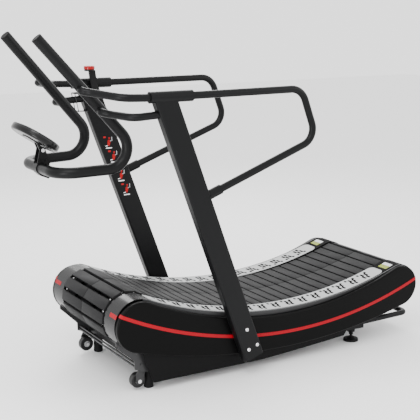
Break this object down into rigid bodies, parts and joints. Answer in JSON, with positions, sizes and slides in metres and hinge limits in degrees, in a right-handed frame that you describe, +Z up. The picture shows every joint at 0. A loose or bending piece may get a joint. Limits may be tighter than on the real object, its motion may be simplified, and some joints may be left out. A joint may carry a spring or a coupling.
{
  "type": "curved manual treadmill",
  "caption": "Curved slat-belt manual treadmill with leaning uprights, looped hand rails, twin-arm handlebar, resistance lever and tilting console.",
  "frame": {"origin": "on the floor, midway along and across the overall bounding box", "axes": "+X towards the rear step-on end, +Y towards the right of a person facing the console, +Z up"},
  "size_m": [2.0797, 0.8738, 1.6178],
  "materials": {
    "tread_rubber": "ribbed moulded rubber",
    "slat_core": "dark anodised extrusion",
    "bolt_steel": "zinc plated",
    "belt_rubber": "matte",
    "bearing_steel": "ground",
    "shaft_steel": "turned",
    "pulley_aluminium": "machined",
    "bearing_housing": "painted casting",
    "disc_aluminium": "machined",
    "yoke_steel": "satin",
    "cable_black": "matte",
    "frame_black": "satin powder coat",
    "foot_rubber": "matte",
    "bracket_grey": "satin",
    "wheel_tyre": "matte",
    "wheel_hub": "moulded",
    "tube_black": "fine texture powder coat",
    "panel_black": "moulded satin",
    "skirt_black": "satin powder coat",
    "cover_black": "moulded",
    "cap_dark": "polished",
    "strip_grey": "patterned grip mat",
    "lip_silver": "satin anodised",
    "stripe_red": "smooth",
    "cap_rubber": "matte",
    "lever_black": "satin",
    "knob_red": "polished",
    "wire_black": "satin",
    "console_black": "moulded",
    "console_grey": "moulded satin",
    "window_clear": "grey display",
    "clamp_black": "satin",
    "key_dark": "satin"
  },
  "bodies": {
    "frame": {"accessory_cage": "wire_black", "base_frame": "frame_black", "brake_cable": "cable_black", "console_clamp": "clamp_black", "cross_members": "frame_black", "deck_treads": "tread_rubber", "drive_belts": "belt_rubber", "edge_lips": "lip_silver", "front_end_caps": "cap_dark", "front_feet": "foot_rubber", "front_rails": "tube_black", "front_treads": "tread_rubber", "guide_bearings": "bearing_steel", "guide_pins": "bearing_steel", "handle_caps": "cap_rubber", "handlebar": "tube_black", "left_deck_cover": "cover_black", "left_foot_strip": "strip_grey", "left_hand_rail": "tube_black", "left_side_panel": "panel_black", "left_side_rail": "frame_black", "left_upright": "tube_black", "lifting_handle": "tube_black", "pivot_pins": "bolt_steel", "rear_end_caps": "cover_black", "rear_feet": "foot_rubber", "return_treads": "tread_rubber", "right_deck_cover": "cover_black", "right_foot_strip": "strip_grey", "right_hand_rail": "tube_black", "right_side_panel": "panel_black", "right_side_rail": "frame_black", "right_upright": "tube_black", "shaft_bearings": "bearing_housing", "side_stripes": "stripe_red", "skirts": "skirt_black", "slat_bolts": "bolt_steel", "slat_cores": "slat_core", "upright_bolts": "bolt_steel", "wheel_axles": "bolt_steel", "wheel_brackets": "bracket_grey"},
    "front_drum": {"front_shaft": "shaft_steel", "front_pulleys": "pulley_aluminium", "brake_disc": "disc_aluminium"},
    "rear_drum": {"rear_shaft": "shaft_steel", "rear_pulleys": "pulley_aluminium"},
    "left_wheel": {"left_wheel_tyre": "wheel_tyre", "left_wheel_hub": "wheel_hub"},
    "right_wheel": {"right_wheel_tyre": "wheel_tyre", "right_wheel_hub": "wheel_hub"},
    "lever": {"resistance_lever": "lever_black", "lever_knob": "knob_red"},
    "brake_yoke": {"magnet_yoke": "yoke_steel"},
    "console": {"console_back": "console_black", "console_front": "console_grey", "console_window": "window_clear", "console_hinge": "console_black"},
    "mode_key": {"mode_button": "key_dark"},
    "reset_key": {"reset_button": "key_dark"}
  },
  "joints": [
    {"name": "front_drum_spin", "type": "hinge", "parent": "frame", "child": "front_drum", "pos_m": [-0.6201, 0, 0.336], "axis": [0, 1, 0], "continuous": true},
    {"name": "rear_drum_spin", "type": "hinge", "parent": "frame", "child": "rear_drum", "pos_m": [0.9099, 0, 0.286], "axis": [0, 1, 0], "continuous": true},
    {"name": "left_wheel_spin", "type": "hinge", "parent": "frame", "child": "left_wheel", "pos_m": [-0.6021, -0.286, 0.05], "axis": [0, 1, 0], "continuous": true},
    {"name": "right_wheel_spin", "type": "hinge", "parent": "frame", "child": "right_wheel", "pos_m": [-0.6021, 0.286, 0.05], "axis": [0, 1, 0], "continuous": true},
    {"name": "lever_tilt", "type": "hinge", "parent": "frame", "child": "lever", "pos_m": [-0.4721, 0.369, 1.262], "axis": [0, 1, 0], "range_deg": [-8, 32]},
    {"name": "brake_yoke_tilt", "type": "hinge", "parent": "frame", "child": "brake_yoke", "pos_m": [-0.4801, 0.3, 0.262], "axis": [0, 1, 0], "range_deg": [-2.4, 9.6]},
    {"name": "console_tilt", "type": "hinge", "parent": "frame", "child": "console", "pos_m": [-0.9181, 0, 1.104], "axis": [0, 1, 0], "range_deg": [-20, 15]},
    {"name": "mode_key_press", "type": "slide", "parent": "console", "child": "mode_key", "axis": [-0.5592, 0, -0.829], "range_m": [0, 0.0015], "stiffness_N_per_m": 500, "springref_m": -0.0005},
    {"name": "reset_key_press", "type": "slide", "parent": "console", "child": "reset_key", "axis": [-0.5592, 0, -0.829], "range_m": [0, 0.0015], "stiffness_N_per_m": 500, "springref_m": -0.0005}
  ],
  "couplings": [
    {"joint": "rear_drum_spin", "follows": "front_drum_spin", "ratio": 1.1989},
    {"joint": "brake_yoke_tilt", "follows": "lever_tilt", "ratio": 0.3}
  ]
}
